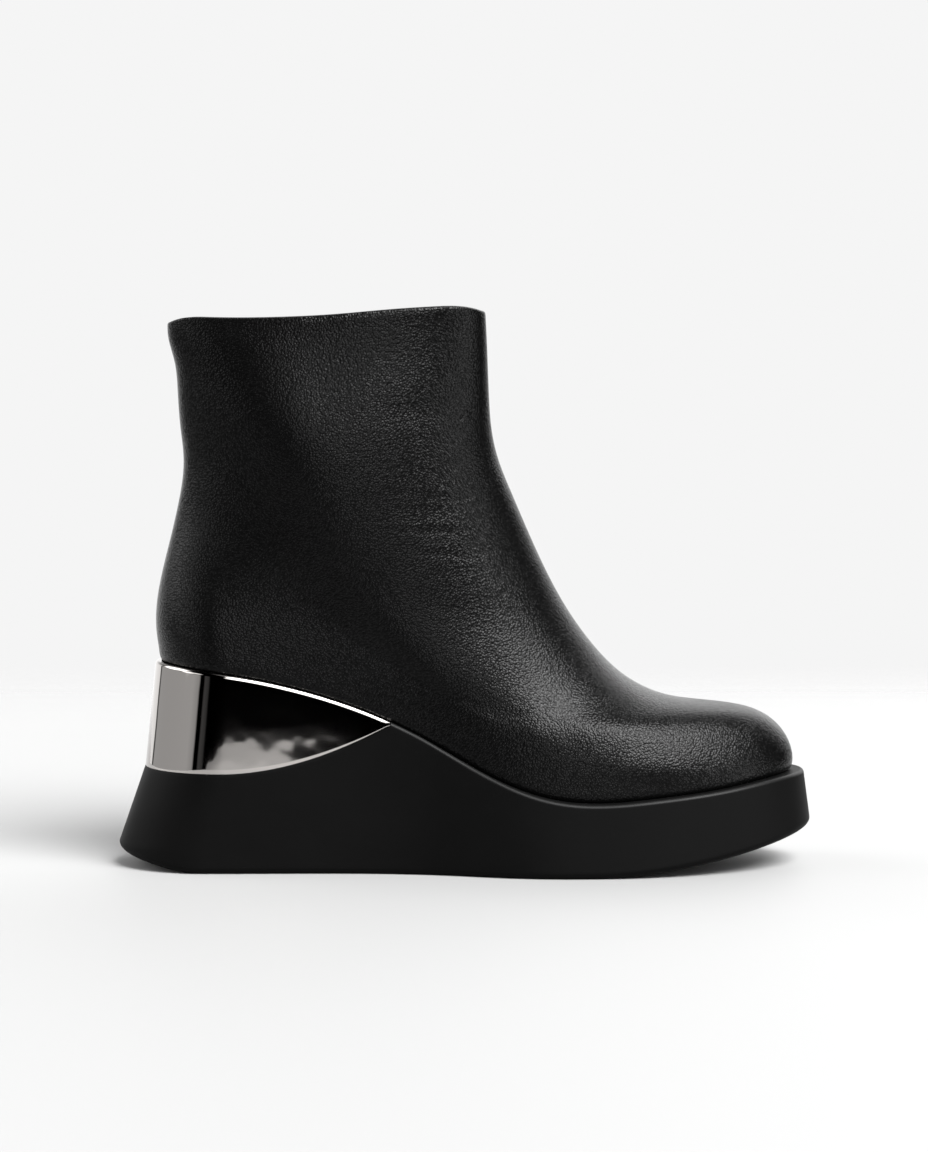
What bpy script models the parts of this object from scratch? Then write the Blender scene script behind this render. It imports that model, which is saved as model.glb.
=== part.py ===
"""A wedge platform ankle boot for the right foot, built as separate solids.

The boot stands on the floor at z = 0, with +X towards the toe, +Y towards the inner
side of the foot and +Z up. The origin is on the floor, under the middle of the boot.
Its pieces are the upper, the insole, the sole and the mirror cover of the heel.
"""

import math

import bmesh
import bpy
import numpy as np

# Driving sizes of the sole, in metres
SOLE_LENGTH = 0.2712  # back of the heel to the tip of the toe
BALL_OUTER = 0.0504  # middle line to the outer edge at the ball
BALL_INNER = 0.0456  # middle line to the inner edge at the ball
HEEL_WIDTH = 0.0714
HEEL_ROUND_LENGTH = 0.036  # along the boot, where the heel's outline rounds off
TOE_ROUND_LENGTH = 0.0815  # along the boot, where the toe's outline rounds off
TOE_SWING = 0.004  # how far the toe turns to the inner side
SEAT_HEIGHT = 0.0796  # top of the sole at the back
BALL_HEIGHT = 0.0282  # top of the sole at the ball, its lowest
TOE_HEIGHT = 0.0365  # top of the sole at the toe
TOE_SPRING = 0.0150  # lift of the bottom at the tip
TOE_SPRING_LENGTH = 0.086
HEEL_BEVEL = 0.0062  # lift of the bottom at the back
HEEL_BEVEL_LENGTH = 0.030
HEEL_FLARE = 0.0103  # how far the back steps in from its foot to the cover
HEEL_FLARE_REACH = 0.085  # along the boot, how far forward that step fades out
SIDE_LEAN = 0.0026  # how far sides and toe lean in from bottom to top
BOTTOM_EDGE = 0.0025  # radius of the edge at the floor
LEDGE_EDGE = 0.0014  # radius of the edge of the ledge
LEDGE_WIDTH = 0.0046  # sole outside the upper, at the forefoot
FULL_LEDGE_AT = 0.62  # share of the length, from where it is that wide
HEEL_LEDGE = 0.0010  # the same, at the sides of the heel
BACK_LEDGE = 0.0017  # the same, at the back

# Driving sizes of the heel cover
COVER_THICKNESS = 0.0022
COVER_BOTTOM_HEIGHT = 0.0384
COVER_LEAN = 0.0043  # how far the back of the cover leans in
COVER_TIP_HEIGHT = 0.0014  # what is left of the cover's height at its two tips
COVER_TIP_AT = 0.393  # share of the length, where the tips are
COVER_RISE_AT = 0.168  # share of the length, where the lower edge starts to rise
COVER_LIP = 0.0014  # radius of the top edge

# Driving sizes of the upper and the insole
BOOT_HEIGHT = 0.2176
COLLAR_LENGTH = 0.1237
COLLAR_DROP = 0.0062  # front top of the collar down to its back
SHAFT_WIDTH = 0.0600
HEEL_CURVE = 0.0084  # depth of the curve above the heel
WALL = 0.0022
EDGE_TUCK = 0.0010  # how far the upper's lower edge turns in
EDGE_TUCK_HEIGHT = 0.0032
INSOLE_THICKNESS = 0.0025
CLEARANCE = 0.0003

# Mesh counts
HEEL_COLUMNS = 14  # columns from the back to a cover tip
FORE_COLUMNS = 18  # columns from there to the toe
UPPER_COLUMNS = 48
UPPER_ROWS = 19  # rows above the lower edge
COVER_TIP_STEP = 0.012  # angle, in radians, in which the cover's seat ends

BACK_X = -SOLE_LENGTH / 2
COVER_TIP_X = BACK_X + COVER_TIP_AT * SOLE_LENGTH
COVER_RISE_X = BACK_X + COVER_RISE_AT * SOLE_LENGTH
COVER_RISE_POWER = 1.75
TOE_SPRING_POWER = 1.7
HEEL_BEVEL_POWER = 1.2
OUTLINE_POWER = 2.1  # 2 rounds the sole's ends as an ellipse, more makes them squarer
COLLAR_POWER = 2.2  # the same for the collar's oval
OVAL_FROM = 0.5  # share of the upper's height, where its rows have the collar's form

# Plan of the sole: 0 is the heel's half width, 1 is the ball's
# share of length, outer side, inner side
SOLE_PLAN = (
    (0.00, 0.00, 0.00),
    (0.20, 0.00, 0.00),
    (0.36, -0.01, -0.12),
    (0.44, 0.16, -0.12),
    (0.51, 0.50, 0.12),
    (0.57, 0.83, 0.50),
    (0.63, 1.00, 0.86),
    (0.70, 1.02, 1.02),
    (0.80, 0.99, 1.04),
    (1.00, 0.92, 0.98),
)

# Top of the sole: the first part is a share of the seat's height over the ball,
# the second a share of the toe's height over the ball
# share of length, seat part, toe part
SOLE_TOP = (
    (0.000, 1.000, 0.00),
    (0.060, 0.998, 0.00),
    (0.120, 0.969, 0.00),
    (0.190, 0.918, 0.00),
    (0.258, 0.839, 0.00),
    (0.327, 0.730, 0.00),
    (0.393, 0.593, 0.00),
    (0.438, 0.478, 0.00),
    (0.496, 0.305, 0.00),
    (0.554, 0.150, 0.00),
    (0.610, 0.047, 0.00),
    (0.680, 0.000, 0.00),
    (0.762, 0.000, 0.15),
    (0.828, 0.000, 0.36),
    (0.887, 0.000, 0.60),
    (0.942, 0.000, 0.86),
    (1.000, 0.000, 1.02),
)

# Front of the upper in side view, from the lower edge at the toe to the collar
# forward: share from the collar's front to the toe; up: share of the whole rise
FRONT_PROFILE = (
    (1.000, 0.000),  # lower edge
    (1.003, 0.025),  # tip of the toe
    (0.989, 0.062),
    (0.949, 0.100),
    (0.880, 0.129),  # top of the toe
    (0.748, 0.144),
    (0.632, 0.153),
    (0.540, 0.172),  # vamp
    (0.443, 0.210),
    (0.347, 0.275),
    (0.257, 0.361),
    (0.167, 0.478),  # instep
    (0.083, 0.608),
    (0.038, 0.687),
    (0.021, 0.740),  # bend of the ankle
    (0.012, 0.814),
    (0.004, 0.949),
    (0.000, 1.000),  # collar
)

# Back of the upper in side view, from the seat to the collar
# up: share of the whole rise; forward: share of the heel curve's depth
BACK_PROFILE = (
    (0.000, 0.00),  # lower edge
    (0.030, -0.05),
    (0.082, -0.16),
    (0.140, -0.18),  # back of the heel
    (0.230, 0.01),
    (0.350, 0.46),
    (0.468, 0.89),
    (0.600, 1.13),  # back of the ankle
    (0.680, 1.01),
    (0.790, 0.88),
    (0.885, 0.73),
    (0.965, 0.43),
    (1.000, 0.42),  # collar
)

# Top line of the collar: share from back to front, height as a share of its drop
COLLAR_LINE = (
    (0.00, 0.00),
    (0.04, 0.24),
    (0.12, 0.31),
    (0.38, 0.34),
    (0.50, 0.46),
    (0.70, 0.80),
    (0.84, 0.98),
    (0.92, 1.00),
    (0.97, 0.86),
    (1.00, 0.70),
)

# Fullness of the upper: its rows change from the outline of the seat to the oval of
# the collar, and this is their half width as a share of that even change
# Columns are shares from back to front, rows are shares from lower edge to collar
FULLNESS_ALONG = (0.00, 0.10, 0.30, 0.50, 0.70, 0.85, 0.93, 1.00)
FULLNESS = (
    (0.00, (1.00, 1.00, 1.00, 1.00, 1.00, 1.00, 1.00, 1.00)),
    (0.08, (1.01, 1.01, 1.00, 0.98, 0.98, 0.94, 0.90, 0.86)),
    (0.23, (1.00, 1.00, 1.01, 0.98, 1.02, 1.02, 0.98, 0.90)),
    (0.37, (1.00, 1.00, 1.03, 1.07, 1.13, 1.15, 1.11, 0.98)),
    (0.50, (1.00, 1.00, 1.05, 1.09, 1.12, 1.11, 1.05, 0.94)),
    (0.75, (0.88, 0.89, 0.94, 0.95, 0.93, 0.88, 0.82, 0.77)),
    (1.00, (0.74, 0.73, 0.71, 0.70, 0.71, 0.73, 0.75, 0.77)),
)


def spline(keys, values):
    """Return the smooth curve through the values, one row of numbers for each key."""
    keys = np.asarray(keys, float)
    values = np.asarray(values, float).reshape(len(keys), -1)
    steps = np.diff(keys)
    count = len(keys)
    matrix = np.eye(count)
    bends = np.zeros_like(values)
    for i in range(1, count - 1):
        matrix[i, i - 1 : i + 2] = steps[i - 1], 2 * (steps[i - 1] + steps[i]), steps[i]
        slope_after = (values[i + 1] - values[i]) / steps[i]
        slope_before = (values[i] - values[i - 1]) / steps[i - 1]
        bends[i] = 6 * (slope_after - slope_before)
    bends = np.linalg.solve(matrix, bends)

    def value(at):
        at = np.clip(np.asarray(at, float), keys[0], keys[-1])
        i = np.clip(np.searchsorted(keys, at) - 1, 0, count - 2)
        step = steps[i][..., None]
        after = (at - keys[i])[..., None] / step
        before = 1 - after
        curve = (before**3 - before) * bends[i] + (after**3 - after) * bends[i + 1]
        result = before * values[i] + after * values[i + 1] + curve * step**2 / 6
        return result[..., 0] if result.shape[-1] == 1 else result

    return value


def path(points):
    """Return the smooth curve through plane points, by share of its length."""
    points = np.asarray(points, float)
    lengths = np.linalg.norm(np.diff(points, axis=0), axis=1)
    along = np.concatenate(([0.0], np.cumsum(lengths)))
    return spline(along / along[-1], points)


def smooth_step(share):
    """Ease from 0 to 1 as the share goes from 0 to 1."""
    share = np.clip(share, 0, 1)
    return share * share * (3 - 2 * share)


sole_plan = spline([row[0] for row in SOLE_PLAN], [row[1:] for row in SOLE_PLAN])
sole_top = spline([row[0] for row in SOLE_TOP], [row[1:] for row in SOLE_TOP])


def length_share(x):
    """Share of the sole's length at x, from the back."""
    return (x - BACK_X) / SOLE_LENGTH


def top_height(x):
    """Height of the sole's top at x."""
    parts = sole_top(length_share(x))
    seat_rise = SEAT_HEIGHT - BALL_HEIGHT
    toe_rise = TOE_HEIGHT - BALL_HEIGHT
    return BALL_HEIGHT + parts[..., 0] * seat_rise + parts[..., 1] * toe_rise


def bottom_height(x):
    """Height of the sole's bottom at x: flat, with a heel bevel and a toe spring."""
    bevel = np.clip(1 - (x - BACK_X) / HEEL_BEVEL_LENGTH, 0, None)
    spring = np.clip(1 + (x + BACK_X) / TOE_SPRING_LENGTH, 0, None)
    return HEEL_BEVEL * bevel**HEEL_BEVEL_POWER + TOE_SPRING * spring**TOE_SPRING_POWER


def plan(angle):
    """Outline of the sole at its widest, seen from above.

    The angle is 0 at the back, and grows along the outer side to pi at the toe.
    """
    share = (1 - np.cos(angle)) / 2
    outer = np.sin(angle) >= 0
    parts = sole_plan(share)
    grown = np.where(outer, parts[..., 0], parts[..., 1])
    ball = np.where(outer, BALL_OUTER, BALL_INNER)
    half_width = HEEL_WIDTH / 2 + grown * (ball - HEEL_WIDTH / 2)
    into_heel = np.clip(1 - share * SOLE_LENGTH / HEEL_ROUND_LENGTH, 0, 1)
    into_toe = np.clip(1 - (1 - share) * SOLE_LENGTH / TOE_ROUND_LENGTH, 0, 1)
    rounding = 1 - into_heel**OUTLINE_POWER - into_toe**OUTLINE_POWER
    half_width = half_width * np.clip(rounding, 0, 1) ** (1 / OUTLINE_POWER)
    swing = TOE_SWING * smooth_step((share - 0.5) / 0.5)
    y = np.where(outer, -1, 1) * half_width + swing
    return np.stack((BACK_X + share * SOLE_LENGTH, y), -1)


def plan_normal(angle):
    """Outward direction of that outline."""
    step = 1e-3
    run = plan(angle + step) - plan(angle - step)
    normal = np.stack((run[..., 1], -run[..., 0]), -1)
    return normal / np.linalg.norm(normal, axis=-1, keepdims=True)


def facing_back(angle):
    """How much the outline faces back: 1 at the back, 0 from the sides to the toe."""
    return np.clip(-plan_normal(angle)[..., 0], 0, 1) ** 2


def side_inset(angle, height):
    """How far the sole's sides and toe stand in from the widest outline at a height."""
    x = plan(angle)[..., 0]
    foot = bottom_height(x) + BOTTOM_EDGE
    risen = np.clip((height - foot) / (top_height(x) - foot), 0, 1)
    return (1 - facing_back(angle)) * SIDE_LEAN * risen


def heel_step(x, height):
    """How far the heel's outline is moved forward at a height."""
    foot = HEEL_BEVEL + BOTTOM_EDGE
    flare = np.clip((height - foot) / (COVER_BOTTOM_HEIGHT - foot), 0, 1)
    lean = np.clip((height - COVER_BOTTOM_HEIGHT) / (SEAT_HEIGHT - COVER_BOTTOM_HEIGHT), 0, 1)
    near = 1 - smooth_step((x - BACK_X) / HEEL_FLARE_REACH)
    return near * (HEEL_FLARE * flare + COVER_LEAN * lean)


def wall(angle, height, inward=0.0):
    """Points on the sole's wall at a height, moved inward by a distance."""
    place = plan(angle)
    forward = heel_step(place[..., 0], height)
    distance = side_inset(angle, height) + inward
    place = place - plan_normal(angle) * distance[..., None]
    place[..., 0] += forward
    return np.concatenate((place, np.broadcast_to(height, angle.shape)[..., None]), -1)


def wall_top(angle):
    """Height at which the sole's wall meets its top."""
    height = top_height(plan(angle)[..., 0])
    for _ in range(3):
        height = top_height(wall(angle, height)[..., 0])
    return height


def folded(angle):
    """The same angle on the outer side, from 0 to pi."""
    return np.arccos(np.clip(np.cos(angle), -1, 1))


def cover_bottom(angle):
    """Height of the heel cover's lower edge."""
    top = wall_top(angle)
    x = wall(angle, top)[..., 0]
    risen = np.clip((x - COVER_RISE_X) / (COVER_TIP_X - COVER_RISE_X), 0, 1)
    tip = top_height(np.array(COVER_TIP_X)) - COVER_TIP_HEIGHT
    height = COVER_BOTTOM_HEIGHT + (tip - COVER_BOTTOM_HEIGHT) * risen**COVER_RISE_POWER
    return np.minimum(height, top - COVER_TIP_HEIGHT)


def cover_tip_angle():
    """Angle of the cover's tips."""
    return math.acos(1 - 2 * (COVER_TIP_X - BACK_X) / SOLE_LENGTH)


def sole_angles():
    """Angles of the sole's columns, once round, with columns at the cover's tips."""
    tip = cover_tip_angle()
    heel = np.linspace(0, tip, HEEL_COLUMNS + 1)
    fore = np.linspace(tip + COVER_TIP_STEP, math.pi, FORE_COLUMNS + 1)
    outer = np.concatenate((heel, fore))
    return np.concatenate((outer, (2 * math.pi - outer)[-2:0:-1]))


def add_points(bm, points):
    return [bm.verts.new(tuple(point)) for point in points]


def join_rows(bm, rows):
    """Join closed rows of vertices, each to the next, with four-sided faces."""
    for low, high in zip(rows, rows[1:]):
        for i in range(len(low)):
            bm.faces.new((low[i - 1], low[i], high[i], high[i - 1]))


def close_across(bm, row):
    """Close a row that runs once round with strips straight across the boot."""
    count = len(row)
    for i in range(count // 2):
        strip = [row[i], row[i + 1], row[-(i + 1) % count], row[-i % count]]
        corners = list(dict.fromkeys(strip))
        bm.faces.new(corners)


def make_object(name, bm, material):
    """Turn a closed mesh into a named object, smooth but for its hard edges."""
    bmesh.ops.recalc_face_normals(bm, faces=bm.faces)
    mesh = bpy.data.meshes.new(name)
    bm.to_mesh(mesh)
    bm.free()
    mesh.shade_smooth()
    mesh.set_sharp_from_angle(angle=math.radians(40))
    mesh.materials.append(material)
    piece = bpy.data.objects.new(name, mesh)
    bpy.context.scene.collection.objects.link(piece)
    return piece


def make_material(name, color, roughness, metallic):
    material = bpy.data.materials.new(name)
    material.use_nodes = True
    shader = material.node_tree.nodes["Principled BSDF"]
    shader.inputs["Base Color"].default_value = (*color, 1.0)
    shader.inputs["Roughness"].default_value = roughness
    shader.inputs["Metallic"].default_value = metallic
    return material


def make_sole(material):
    """The wedge and platform, with a seat cut into it for the heel cover."""
    angle = sole_angles()
    top = wall_top(angle)
    bottom = bottom_height(plan(angle)[:, 0])
    covered = folded(angle) <= cover_tip_angle() + COVER_TIP_STEP / 2
    seat_depth = COVER_THICKNESS + CLEARANCE
    shoulder = np.where(covered, cover_bottom(angle) - CLEARANCE, top - LEDGE_EDGE)
    bm = bmesh.new()
    rows = []
    for turn in np.radians((0, 30, 60)):
        inward = BOTTOM_EDGE * (1 - math.sin(turn))
        lift = BOTTOM_EDGE * (1 - math.cos(turn))
        row = wall(angle, bottom + BOTTOM_EDGE, inward)
        row[:, 2] = bottom_height(row[:, 0]) + lift
        rows.append(add_points(bm, row))
    for share in np.linspace(0, 1, 5):
        height = bottom + BOTTOM_EDGE + share * (shoulder - bottom - BOTTOM_EDGE)
        rows.append(add_points(bm, wall(angle, height)))
    soft = 0.3 * LEDGE_EDGE
    step = np.where(covered, seat_depth, soft)
    step_height = np.where(covered, shoulder, top - soft)
    row = wall(angle, step_height, step)
    rows.append(add_points(bm, row))
    row = wall(angle, top, np.where(covered, seat_depth, LEDGE_EDGE))
    row[:, 2] = top_height(row[:, 0])
    rows.append(add_points(bm, row))
    join_rows(bm, rows)
    close_across(bm, rows[0])
    close_across(bm, rows[-1])
    return make_object("sole", bm, material)


def make_heel_cover(material):
    """The mirror band: one section of it swept from tip to tip round the back."""
    tip = cover_tip_angle()
    angle = np.linspace(-tip, tip, 2 * HEEL_COLUMNS + 1)
    low = cover_bottom(angle)
    high = wall_top(angle)
    lip = np.minimum(COVER_LIP, (high - low) / 2)
    bm = bmesh.new()
    rows = [wall(angle, low + share * (high - lip - low)) for share in (0, 0.25, 0.5, 0.75, 1)]
    for turn in np.radians((30, 60, 90)):
        inward = lip * (1 - math.cos(turn))
        row = wall(angle, high - lip)
        row[:, :2] -= plan_normal(angle) * inward[:, None]
        row[:, 2] += lip * math.sin(turn)
        rows.append(row)
    for share in (1, 0.66, 0.33, 0):
        rows.append(wall(angle, low + share * (high - low), COVER_THICKNESS))
    columns = [add_points(bm, column) for column in np.stack(rows, 1)]
    join_rows(bm, columns)
    bm.faces.new(columns[0])
    bm.faces.new(columns[-1])
    return make_object("heel_cover", bm, material)


def seat_line(angle):
    """Outline on top of the sole where the upper stands."""
    place = wall(angle, wall_top(angle))
    grown = smooth_step((length_share(place[..., 0]) - COVER_TIP_AT) / (FULL_LEDGE_AT - COVER_TIP_AT))
    side_ledge = HEEL_LEDGE + grown * (LEDGE_WIDTH - HEEL_LEDGE)
    ledge = side_ledge + facing_back(angle) * (BACK_LEDGE - side_ledge)
    place[..., :2] -= plan_normal(angle) * ledge[..., None]
    place[..., 2] = top_height(place[..., 0]) + CLEARANCE
    return place


def fullness(level, along):
    """Half width of the upper at a level, as a share of that of its seat."""
    levels = [row[0] for row in FULLNESS]
    by_level = spline(levels, [row[1] for row in FULLNESS])(level)
    return spline(FULLNESS_ALONG, by_level)(along)


def upper_surface(angle, levels):
    """Outer surface of the upper, a row of points for each level.

    Level 0 is the lower edge and level 1 the collar. In side view each row runs from
    the back profile to the front one, and bends less and less like the lower edge.
    """
    seat = seat_line(angle)
    outer_seat = seat_line(folded(angle))
    back_foot, toe_foot = seat_line(np.array([0.0, math.pi]))[:, [0, 2]]
    collar_back = np.array((back_foot[0], BOOT_HEIGHT - COLLAR_DROP))
    collar_back[0] += HEEL_CURVE * BACK_PROFILE[-1][1]
    front_lift = COLLAR_DROP * COLLAR_LINE[-1][1]
    collar_front = collar_back + (COLLAR_LENGTH, front_lift)
    rise = collar_back[1] - back_foot[1]
    back = [(HEEL_CURVE * forward, rise * up) for up, forward in BACK_PROFILE] + back_foot
    spread = (collar_front[0] - toe_foot[0], collar_front[1] - toe_foot[1])
    front = toe_foot + [(spread[0] * (1 - forward), spread[1] * up) for forward, up in FRONT_PROFILE]
    collar_line = spline([row[0] for row in COLLAR_LINE], [row[1] for row in COLLAR_LINE])

    along = (seat[:, 0] - seat[0, 0]) / (toe_foot[0] - back_foot[0])
    outer_along = (outer_seat[:, 0] - seat[0, 0]) / (toe_foot[0] - back_foot[0])
    seat_sag = seat[:, 2] - (back_foot[1] + along * (toe_foot[1] - back_foot[1]))
    even = (1 - np.cos(angle)) / 2
    collar_sag = COLLAR_DROP * collar_line(even) - even * front_lift
    side = np.where(np.sin(angle) >= 0, -1.0, 1.0)
    middle = TOE_SWING * smooth_step((along - 0.5) / 0.5)
    own_half = np.abs(seat[:, 1] - middle)
    outer_half = np.abs(outer_seat[:, 1] - TOE_SWING * smooth_step((outer_along - 0.5) / 0.5))
    rounding = np.clip(1 - np.abs(2 * even - 1) ** COLLAR_POWER, 0, 1)
    oval = SHAFT_WIDTH / 2 * rounding ** (1 / COLLAR_POWER)
    rows = []
    for level in levels:
        back_point = path(back)(level)
        front_point = path(front)(level)
        up_shaft = smooth_step(level / OVAL_FROM)
        share = along + up_shaft * (even - along)
        place = back_point + share[:, None] * (front_point - back_point)
        place[:, 1] += (1 - level) * seat_sag + level * collar_sag
        half = own_half + up_shaft * (outer_half - own_half)
        half = half + up_shaft * (oval - half)
        y = side * half * fullness(level, share) + middle * (1 - level)
        rows.append(np.stack((place[:, 0], y, place[:, 1]), -1))
    grid = np.stack(rows)
    near_edge = np.clip(1 - (grid[..., 2] - seat[:, 2]) / EDGE_TUCK_HEIGHT, 0, 1)
    tuck = EDGE_TUCK * (1 - np.sqrt(1 - near_edge**2))
    grid[..., :2] -= plan_normal(angle) * tuck[..., None]
    grid[0, :, 2] = top_height(grid[0, :, 0]) + CLEARANCE
    return grid


def surface_normals(grid):
    """Outward directions of a surface given as closed rows of points."""
    wrapped = np.concatenate((grid[:, -1:], grid, grid[:, :1]), 1)
    round_it = wrapped[:, 2:] - wrapped[:, :-2]
    up_it = np.gradient(grid, axis=0)
    normal = np.cross(round_it, up_it)
    return normal / np.linalg.norm(normal, axis=-1, keepdims=True)


def upper_angles():
    return np.arange(UPPER_COLUMNS) * 2 * math.pi / UPPER_COLUMNS


def upper_levels():
    """Levels of the rows: close together at the lower edge and the toe."""
    edge = (0, 0.005, 0.011, 0.020, 0.035, 0.055, 0.080, 0.108)
    return np.concatenate((edge, np.linspace(0.14, 1, UPPER_ROWS)))


def upper_shell():
    """Outer and inner surface of the upper, as rows from lower edge to collar."""
    outer = upper_surface(upper_angles(), upper_levels())
    outer[-1, :, 2] -= WALL / 2
    normal = surface_normals(outer)
    above_seat = outer[..., 2] - outer[0, :, 2]
    flat = 1 - smooth_step(above_seat / (3 * EDGE_TUCK_HEIGHT))
    normal[..., 2] *= 1 - flat
    normal[-1, :, 2] = 0
    normal /= np.linalg.norm(normal, axis=-1, keepdims=True)
    inner = outer - WALL * normal
    inner[0, :, 2] = top_height(inner[0, :, 0]) + CLEARANCE
    return outer, inner


def make_upper(material):
    """The leather upper: two surfaces joined at the collar and at the lower edge."""
    outer, inner = upper_shell()
    rim = []
    for turn in np.radians((45, 90, 135)):
        share = (1 - math.cos(turn)) / 2
        row = outer[-1] + share * (inner[-1] - outer[-1])
        row[:, 2] += WALL / 2 * math.sin(turn)
        rim.append(row)
    bm = bmesh.new()
    rows = [add_points(bm, row) for row in (*outer, *rim, *inner[::-1])]
    join_rows(bm, rows + rows[:1])
    return make_object("upper", bm, material)


def make_insole(material):
    """The footbed: a plate on the sole's top, inside the upper's wall."""
    inner = upper_shell()[1][0]
    ahead = np.roll(inner, -1, 0)[:, :2]
    behind = np.roll(inner, 1, 0)[:, :2]
    run = ahead - behind
    normal = np.stack((run[:, 1], -run[:, 0]), -1)
    normal /= np.linalg.norm(normal, axis=-1, keepdims=True)
    edge = inner[:, :2] - normal * CLEARANCE * 1.5
    foot = top_height(edge[:, 0]) + CLEARANCE
    bm = bmesh.new()
    rows = []
    for share in (0, 1):
        height = foot + share * INSOLE_THICKNESS
        rows.append(add_points(bm, np.column_stack((edge, height))))
    join_rows(bm, rows)
    close_across(bm, rows[0])
    close_across(bm, rows[-1])
    return make_object("insole", bm, material)


def main():
    for old in list(bpy.data.objects):
        bpy.data.objects.remove(old, do_unlink=True)
    leather = make_material("black_leather", (0.012, 0.012, 0.012), 0.45, 0.0)
    lining = make_material("black_lining", (0.020, 0.019, 0.018), 0.70, 0.0)
    rubber = make_material("black_rubber", (0.016, 0.016, 0.016), 0.55, 0.0)
    mirror = make_material("smoked_mirror", (0.30, 0.29, 0.28), 0.08, 1.0)
    make_sole(rubber)
    make_heel_cover(mirror)
    make_upper(leather)
    make_insole(lining)


main()
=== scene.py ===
"""Looks of a wedge platform ankle boot for the right foot.

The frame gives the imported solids. Each of them is made again from the same sizes with
finer rows, and gets the creases, edges, grain and gloss of the real material. Then come
the floor, the studio light and the camera.
"""

import math

import bpy
import numpy as np
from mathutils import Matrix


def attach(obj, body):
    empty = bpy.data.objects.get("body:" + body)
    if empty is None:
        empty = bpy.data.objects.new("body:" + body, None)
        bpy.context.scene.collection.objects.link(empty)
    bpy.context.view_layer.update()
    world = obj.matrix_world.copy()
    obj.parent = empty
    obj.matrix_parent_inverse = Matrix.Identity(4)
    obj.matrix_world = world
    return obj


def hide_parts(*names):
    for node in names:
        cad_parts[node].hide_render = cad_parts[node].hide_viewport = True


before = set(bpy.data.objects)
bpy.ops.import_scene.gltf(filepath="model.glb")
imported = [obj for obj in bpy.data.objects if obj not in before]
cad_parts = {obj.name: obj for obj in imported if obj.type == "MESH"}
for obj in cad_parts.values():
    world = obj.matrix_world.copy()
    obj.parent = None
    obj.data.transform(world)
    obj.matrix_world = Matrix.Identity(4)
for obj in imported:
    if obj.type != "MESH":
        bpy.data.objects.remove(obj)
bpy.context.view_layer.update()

# Sizes of the sole, in metres, as in the construction
SOLE_LENGTH = 0.2712
BALL_OUTER = 0.0504
BALL_INNER = 0.0456
HEEL_WIDTH = 0.0714
HEEL_ROUND_LENGTH = 0.036
TOE_ROUND_LENGTH = 0.0815
TOE_SWING = 0.004
SEAT_HEIGHT = 0.0796
BALL_HEIGHT = 0.0282
TOE_HEIGHT = 0.0365
TOE_SPRING = 0.0150
TOE_SPRING_LENGTH = 0.086
HEEL_BEVEL = 0.0062
HEEL_BEVEL_LENGTH = 0.030
HEEL_FLARE = 0.0103
HEEL_FLARE_REACH = 0.085
SIDE_LEAN = 0.0026
BOTTOM_EDGE = 0.0025
LEDGE_EDGE = 0.0014
LEDGE_WIDTH = 0.0046
FULL_LEDGE_AT = 0.62
HEEL_LEDGE = 0.0010
BACK_LEDGE = 0.0017

# Sizes of the heel cover
COVER_THICKNESS = 0.0022
COVER_BOTTOM_HEIGHT = 0.0384
COVER_LEAN = 0.0043
COVER_TIP_HEIGHT = 0.0014
COVER_TIP_AT = 0.393
COVER_RISE_AT = 0.168
COVER_LIP = 0.0014
COVER_FOOT_EDGE = 0.0004  # radius of the lower edge, which shows as a thin bright line

# Sizes of the upper and the insole
BOOT_HEIGHT = 0.2176
COLLAR_LENGTH = 0.1237
COLLAR_DROP = 0.0062
SHAFT_WIDTH = 0.0600
HEEL_CURVE = 0.0084
WALL = 0.0022
EDGE_TUCK = 0.0010
EDGE_TUCK_HEIGHT = 0.0032
INSOLE_THICKNESS = 0.0025
INSOLE_EDGE = 0.0008
CLEARANCE = 0.0003

# Mesh counts, and the turns at which a rounded edge gets a row
HEEL_COLUMNS = 120
FORE_COLUMNS = 130
COVER_TIP_STEP = 0.002
UPPER_COLUMNS = 320
UPPER_ROWS = 212
LINING_ROWS = 56
SOLE_WALL_ROWS = 36
COVER_ROWS = 24
CREASE_STEPS = 24
EDGE_TURNS = np.radians(np.arange(15, 91, 15))

# Places and powers that shape the curves
BACK_X = -SOLE_LENGTH / 2
COVER_TIP_X = BACK_X + COVER_TIP_AT * SOLE_LENGTH
COVER_RISE_X = BACK_X + COVER_RISE_AT * SOLE_LENGTH
COVER_RISE_POWER = 1.75
TOE_SPRING_POWER = 1.7
HEEL_BEVEL_POWER = 1.2
OUTLINE_POWER = 2.1
COLLAR_POWER = 2.2
OVAL_FROM = 0.5
SWING_FROM = 0.5
LEVEL_POWER = 2.2
CROWDED_LEVELS = 0.35  # share of the levels' spacing that is closer near the lower edge

# Plan of the sole: share of length, outer side, inner side
SOLE_PLAN = (
    (0.00, 0.00, 0.00),
    (0.20, 0.00, 0.00),
    (0.36, -0.01, -0.12),
    (0.44, 0.16, -0.12),
    (0.51, 0.50, 0.12),
    (0.57, 0.83, 0.50),
    (0.63, 1.00, 0.86),
    (0.70, 1.02, 1.02),
    (0.80, 0.99, 1.04),
    (1.00, 0.92, 0.98),
)

# Top of the sole: share of length, seat part, toe part
SOLE_TOP = (
    (0.000, 1.000, 0.00),
    (0.060, 0.998, 0.00),
    (0.120, 0.969, 0.00),
    (0.190, 0.918, 0.00),
    (0.258, 0.839, 0.00),
    (0.327, 0.730, 0.00),
    (0.393, 0.593, 0.00),
    (0.438, 0.478, 0.00),
    (0.496, 0.305, 0.00),
    (0.554, 0.150, 0.00),
    (0.610, 0.047, 0.00),
    (0.680, 0.000, 0.00),
    (0.762, 0.000, 0.15),
    (0.828, 0.000, 0.36),
    (0.887, 0.000, 0.60),
    (0.942, 0.000, 0.86),
    (1.000, 0.000, 1.02),
)

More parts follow.
